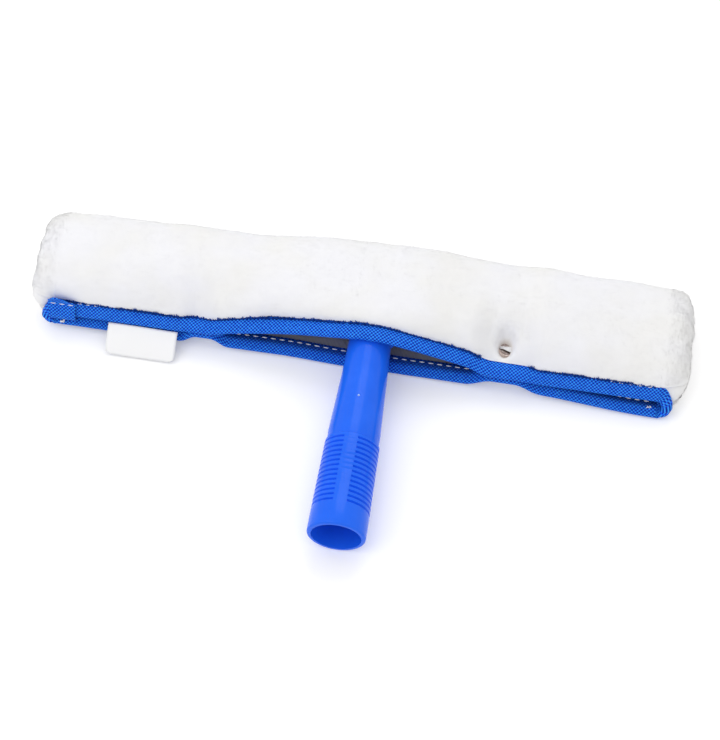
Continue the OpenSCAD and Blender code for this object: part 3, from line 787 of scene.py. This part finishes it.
# Painted shade: the inner half of the lower tape is mixed towards dark navy, where the upper hem shades
# it.
tape_painted_shade = attribute_node(tape_tree, "inner_painted_shade")
tape_tone = tint(tape_tree, (tape_ramp, "Color"), (0.002, 0.016, 0.13), tape_painted_shade)
link(tape_tree, *tape_tone, tape_shader, "Base Color")
link(tape_tree, bump_node(tape_tree, knot_level, "Result", 0.0005, 1.0), "Normal", tape_shader, "Normal")
tape_shader.inputs["Roughness"].default_value = 0.5
tape_shader.inputs["Specular IOR Level"].default_value = 0.1


def tape_outline(half, swell, start, n=7, turn=8):
    """Section of the folded tape: distance from the fold and height over the cloth's middle."""
    def face(sign):
        bulge = swell if sign > 0 else 0.1
        return [(mix(start, tape_w, i / n), sign * (half + bulge * math.sin(math.pi * i / n)))
                for i in range(n + 1)]
    bend = [(start - half * math.sin(a), -half * math.cos(a))
            for a in (math.pi * i / turn for i in range(1, turn))]
    return list(reversed(face(-1))) + bend + face(1)


tape_outer = tape_outline(tape_half, 0.95, 1.7)
tape_inner = tape_outline(0.72, 0.2, 2.4)


def beside_fold(x, e, s, along, up):
    """The place so far along the tape from its fold at e, and so far over the cloth's middle."""
    return place(x, *(e + along * heading(s) + up * heading(s + 90)))


def tape_ring(x, e, s):
    return [beside_fold(x, e, s, *p) for p in tape_outer + tape_inner[::-1]]


for name, (x0, x1, side) in sides.items():
    rings = [tape_ring(x, hem_fold(x), hem_slope(x)) for x in spaced(x0, x1, 2)]
    piece = new_piece("tape_top_" + name, swept_shell(rings), tape_blue)
    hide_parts("tape_upper")
    lift_with_mouth(piece)
    mesh = swept_shell([tape_ring(x, low_fold(x), low_slope(x)) for x in spaced(x0, x1, 2)])
    # Painted shade on the lower tape's inner face, growing from 3.6 mm past the fold.
    inner_painted_shade = mesh.verts.layers.float.new("inner_painted_shade")
    for vert in mesh.verts:
        x = vert.co.x * 1000
        off = np.array([vert.co.y * 1000 - shift.y, vert.co.z * 1000 - shift.z]) - low_fold(x)
        if off @ heading(low_slope(x) + 90) > 0:
            vert[inner_painted_shade] = 0.72 * smooth((off @ heading(low_slope(x)) - 3.6) / 3)
    piece = new_piece("tape_under_" + name, mesh, tape_blue)
    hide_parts("tape_lower")
    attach(piece, "scrubber")


def corner_ring(side, g):
    """The tape where it turns round the end of the mouth, g from 0 at the top to 180 below."""
    c, s = math.cos(math.radians(g)), math.sin(math.radians(g))
    up = math.radians(hem_slope(mouth_x) if c > 0 else low_slope(mouth_x))
    top, low = hem_fold(side * mouth_x), low_fold(side * mouth_x)
    e = (top + low) / 2 + (top - low) / 2 * c
    d = Vector((s, c * c * math.cos(up) + 0.8 * s, c * c * math.sin(up))).normalized()
    n = Vector((0.8 * s, -c * math.sin(up) - s, c * math.cos(up))).normalized()
    fold = Vector((end_x + 2.8 * s, e[0], e[1]))
    pucker = 0.35 * s * math.sin(math.radians(9 * g + 40))
    def at(p):
        v = fold + d * (mix(1, 0.62, s) * p[0] - pucker) + n * (p[1] + pucker)
        return place(side * v.x, v.y, v.z)
    return [at(p) for p in tape_outer + tape_inner[::-1]]


corner_steps = 24
for name, side in hands.items():
    rings = [corner_ring(side, 180 * i / corner_steps) for i in range(corner_steps + 1)]
    piece = new_piece("tape_turn_" + name, swept_shell(rings), tape_blue)
    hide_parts("tape_corner_" + name)
    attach(piece, "scrubber")


# Lap: the tape is one length of webbing that starts and ends at the left corner of the mouth.
# A short piece lies double there, sewn down, and its cut end climbs over the edge of the tape.
lap = [(0.2, -1.6), (-0.9, -1.4), (-1.9, -0.8), (-2.3, 0.2), (-2.0, 1.3), (-1.0, 2.4),
       (0.6, 3.1), (2.6, 3.6), (4.6, 4.0), (6.2, 4.8), (7.4, 6.0), (8.2, 7.4), (8.8, 8.8), (9.3, 10.2)]
lap_under = [(p + 0.7, h - 0.85) if p > 0 else (p * 0.55, h * 0.5) for p, h in lap]
lap_bend = (6.2, 4.8)


def lap_ring(x):
    e, s = hem_fold(x), hem_slope(x)
    rise = smooth((x + 152) / 2) * 0.7
    climb = mix(1, 0.45, smooth((x + 161) / 9)) * mix(0.6, 1, smooth((x + 166) / 4))
    def at(p, h):
        if p > lap_bend[0]:
            p, h = mix(lap_bend[0], p, climb), mix(lap_bend[1], h, climb)
        return beside_fold(x, e, s, p, h - rise)
    return [at(p, h) for p, h in lap + lap_under[::-1]]


piece = new_piece("tape_lap", swept_shell([lap_ring(x) for x in spaced(-165.6, -151, 0.9)]), tape_blue)
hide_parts("tape_upper")
lift_with_mouth(piece)


# Fringe: cut threads of the ground and of the tape stand up dark along the hem's raw edge.
# They are fine dyed yarn, left uneven where the cloth was cut, and held only by the seam.
fringe_navy, fringe_tree, fringe_shader = node_material("fringe_navy")
fringe_tone = noise_node(fringe_tree, object_point(fringe_tree), 900, 2)
fringe_ramp = colour_ramp(fringe_tree, fringe_tone, "Fac", [
    (0.3, (0.004, 0.025, 0.17)), (0.7, (0.01, 0.09, 0.5))])
link(fringe_tree, fringe_ramp, "Color", fringe_shader, "Base Color")
fringe_shader.inputs["Roughness"].default_value = 0.8
fringe_shader.inputs["Specular IOR Level"].default_value = 0.1
fringe_random = random.Random(5)
for name, side in hands.items():
    mesh = bmesh.new()
    for _ in range(950):
        x = side * fringe_random.uniform(0.5, mouth_x - 2)
        if stud_pull(x) * (x > 0) > 0.5:
            continue
        e, s = hem_fold(x), hem_slope(x)
        root = beside_fold(x, e, s, tape_w - fringe_random.uniform(1.3, 2.2), 2.1)
        clump = 0.65 + 0.5 * noise.noise(Vector((x * 0.35, side, 0)))
        reach = clump * (fringe_random.uniform(0.6, 1.6) * heading(s)
                         + fringe_random.uniform(1.4, 2.9) * heading(s + 90))
        tip = root + Vector((fringe_random.uniform(-0.8, 0.8), *reach)) / 1000
        add_strand(mesh, root, tip, 0.00035, 0.00015)
    piece = new_piece("fringe_" + name, mesh, fringe_navy)
    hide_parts("tape_upper")
    lift_with_mouth(piece)


# Lock stitches: white thread through the tape, 3.3 mm over and 1.5 mm under. Two rows run round
# the mouth, one on each side, and hold the tape, the ground and the pile together.
thread_white, thread_tree, thread_shader = node_material("thread_white")
thread_twist = add_node(thread_tree, "ShaderNodeTexWave", Scale=900.0, Distortion=1.0)
link(thread_tree, *object_point(thread_tree), thread_twist, "Vector")
thread_ramp = colour_ramp(thread_tree, thread_twist, "Fac", [
    (0, (0.88, 0.89, 0.91)), (1, (0.97, 0.97, 0.98))])
link(thread_tree, thread_ramp, "Color", thread_shader, "Base Color")
thread_shader.inputs["Roughness"].default_value = 0.8
stitch_pitch, stitch_long, stitch_thick = 4.8, 3.3, 0.72
stitch_over = tape_half + 0.75


def add_stitch(mesh, matrix):
    bmesh.ops.create_uvsphere(mesh, u_segments=6, v_segments=5, radius=1, matrix=matrix)


def top_inset(x):
    """The upper row runs under the pile and comes out on the tape beside the ends."""
    return mix(9.3, 7.6, smooth((abs(x) - 128) / 12))


def stitch_row(x0, x1, fold, slope, inset, height):
    mesh = bmesh.new()
    for i in range(int((x1 - x0) / stitch_pitch)):
        x = x0 + stitch_pitch * (i + 0.5)
        start, end = (beside_fold(at, fold(at), slope(at), inset(at), height)
                      for at in (x - stitch_long / 2, x + stitch_long / 2))
        run = end - start
        turn = run.to_track_quat("X", "Z").to_matrix().to_4x4()
        size = Matrix.Diagonal((run.length / 2, stitch_thick / 2000, stitch_thick / 2600, 1))
        add_stitch(mesh, Matrix.Translation((start + end) / 2) @ turn @ size)
    return mesh


for name, (x0, x1, side) in sides.items():
    mesh = stitch_row(x0 + 1, x1 - 1, hem_fold, hem_slope, top_inset, stitch_over)
    piece = new_piece("stitches_top_" + name, mesh, thread_white)
    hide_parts("thread_upper")
    lift_with_mouth(piece)
    if side < 0:
        mesh = stitch_row(-165.4, -150.5, hem_fold, hem_slope, lambda x: 6.5, 5.35)
        piece = new_piece("stitches_lap", mesh, thread_white)
        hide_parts("thread_upper")
        lift_with_mouth(piece)
    mesh = stitch_row(x0 + 1, x1 - 1, low_fold, low_slope, lambda x: 7.8, stitch_over)
    piece = new_piece("stitches_under_" + name, mesh, thread_white)
    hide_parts("thread_lower")
    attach(piece, "scrubber")


# End seams: the ends of the sleeve are closed by hand with a few stitches of the same thread.
# They are drawn tight, so they lie sunk in the groove of the pile.
end_stitch_x, end_stitch_start, end_stitch_pitch, end_stitch_long = 174.4, -8, 4.0, 2.6
end_stitch = Matrix.Diagonal((stitch_thick / 2000, end_stitch_long / 2000, stitch_thick / 2000, 1))
for name, side in hands.items():
    mesh = bmesh.new()
    for i in range(7):
        middle = place(side * end_stitch_x, end_stitch_start + end_stitch_pitch * i, 0)
        add_stitch(mesh, Matrix.Translation(middle) @ end_stitch)
    piece = new_piece("end_stitches_" + name, mesh, thread_white)
    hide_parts("end_seam_" + name)
    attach(piece, "scrubber")


# Thread tails: the ends of the seam's thread hang loose in both corners of the mouth. They were
# cut short after sewing and stand up from the tape of the lower side.
tail_random = random.Random(9)
for name, side in hands.items():
    mesh = bmesh.new()
    for i in range(7):
        x = side * (mouth_x - 2.2 - 0.3 * i)
        e = low_fold(x)
        inward = 0.4 if side < 0 else 4.4
        root = place(x, e[0] + inward, e[1] + 1.6)
        tip = place(x - side * tail_random.uniform(0.2, 1.4),
                    e[0] + inward + tail_random.uniform(-1.2, 0.6),
                    e[1] + tail_random.uniform(3.2, 5.2))
        add_strand(mesh, root, tip, 0.0004, 0.0002, corners=6)
    piece = new_piece("thread_tail_" + name, mesh, thread_white)
    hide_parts("thread_lower")
    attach(piece, "scrubber")


# Label: a bare white satin tab with rounded corners, woven and cut from ribbon. It is sewn under
# the hem and hangs forward to the surface.
label_satin, label_tree, label_shader = node_material("label_satin")
label_weave = add_node(label_tree, "ShaderNodeTexWave", Scale=1100.0, Distortion=0.4)
link(label_tree, *object_point(label_tree), label_weave, "Vector")
label_ramp = colour_ramp(label_tree, label_weave, "Fac", [
    (0, (0.95, 0.95, 0.955)), (1, (0.98, 0.98, 0.98))])
link(label_tree, label_ramp, "Color", label_shader, "Base Color")
link(label_tree, bump_node(label_tree, label_weave, "Fac", 0.00005, 0.4), "Normal", label_shader, "Normal")
label_shader.inputs["Roughness"].default_value = 0.45
label_x, label_w, label_reach, label_t, label_round = -114.0, 38.0, 14.5, 0.35, 3.0
label_length = label_reach * 1.2
label_mesh = bmesh.new()
bmesh.ops.create_grid(label_mesh, x_segments=24, y_segments=14, size=1)
for vert in label_mesh.verts:
    u, v = (vert.co.x + 1) / 2, (1 - vert.co.y) / 2
    offset = label_w * (u - 0.5)
    e = hem_fold(label_x + offset)
    inset = max(0.0, v * label_length - (label_length - label_round))
    edge = label_w / 2 - label_round + math.sqrt(max(0.0, label_round ** 2 - inset ** 2))
    a, b = point(e[0] - 0.4, e[1] - 0.2), point(e[0] - label_reach, floor_z + 1.2)
    bent = [a, mix(a, b, 0.3) + point(-0.6, 0.9), mix(a, b, 0.65) + point(-0.4, 1.1), b]
    y, z = bezier(bent, v)
    ripple = 0.25 * math.sin(u * 5 + v * 2)
    vert.co = place(label_x + max(-edge, min(edge, offset)), y, z + ripple)
bmesh.ops.remove_doubles(label_mesh, verts=label_mesh.verts, dist=1e-6)
bmesh.ops.recalc_face_normals(label_mesh, faces=label_mesh.faces)
bmesh.ops.solidify(label_mesh, geom=label_mesh.faces, thickness=label_t / 1000)
label_piece = new_piece("bare_label", label_mesh, label_satin)
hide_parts("label")
lift_with_mouth(label_piece)


# Press studs: nickel-plated caps with a rolled rim, sunk in the parted pile. The sockets, studs
# and posts below them keep their solids.
stud_nickel, nickel_tree, nickel_shader = node_material("stud_nickel")
nickel_shader.inputs["Metallic"].default_value = 1.0
nickel_shader.inputs["Roughness"].default_value = 0.28
nickel_tone = noise_node(nickel_tree, object_point(nickel_tree), 700, 4)
# Painted reflection and shade: the nickel is coloured a mottled dark brown, with the pile it reflects and
# the shade of its pit painted in.
nickel_ramp = colour_ramp(nickel_tree, nickel_tone, "Fac", [
    (0.35, (0.27, 0.21, 0.19)), (0.65, (0.42, 0.36, 0.33))])
link(nickel_tree, nickel_ramp, "Color", nickel_shader, "Base Color")
cap_profile = [(0, 1.25), (2.2, 1.2), (3.2, 1.35), (3.9, 1.5), (4.6, 1.4),
               (5.2, 1.0), (5.45, 0.5), (5.3, 0.1), (4.8, 0.0), (0, 0.0)]
shank_radius, shank_length, shank_drop = 0.0015, 0.0022, Vector((0, 0, 0.0008))
for name, side in hands.items():
    centre = place(side * stud_x, -stud_reach, stud_up_z + backing_t / 2 + 0.05)
    cap_mesh = bmesh.new()
    verts = [cap_mesh.verts.new(centre + Vector((r, 0, z)) / 1000) for r, z in cap_profile]
    edges = [cap_mesh.edges.new(pair) for pair in zip(verts, verts[1:])]
    bmesh.ops.spin(cap_mesh, geom=verts + edges, cent=centre, axis=(0, 0, 1),
                   angle=2 * math.pi, steps=48, use_merge=True)
    bmesh.ops.remove_doubles(cap_mesh, verts=cap_mesh.verts, dist=1e-6)
    bmesh.ops.create_cone(cap_mesh, cap_ends=True, segments=24, radius1=shank_radius,
                          radius2=shank_radius, depth=shank_length,
                          matrix=Matrix.Translation(centre - shank_drop))
    bmesh.ops.recalc_face_normals(cap_mesh, faces=cap_mesh.faces)
    cap = new_piece("stud_cap_" + name + "_shell", cap_mesh, stud_nickel)
    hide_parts("stud_cap_" + name)
    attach(cap, "mouth_flap")
    for part in ("stud_socket_", "stud_", "stud_post_"):
        finish_node(part + name, stud_nickel)
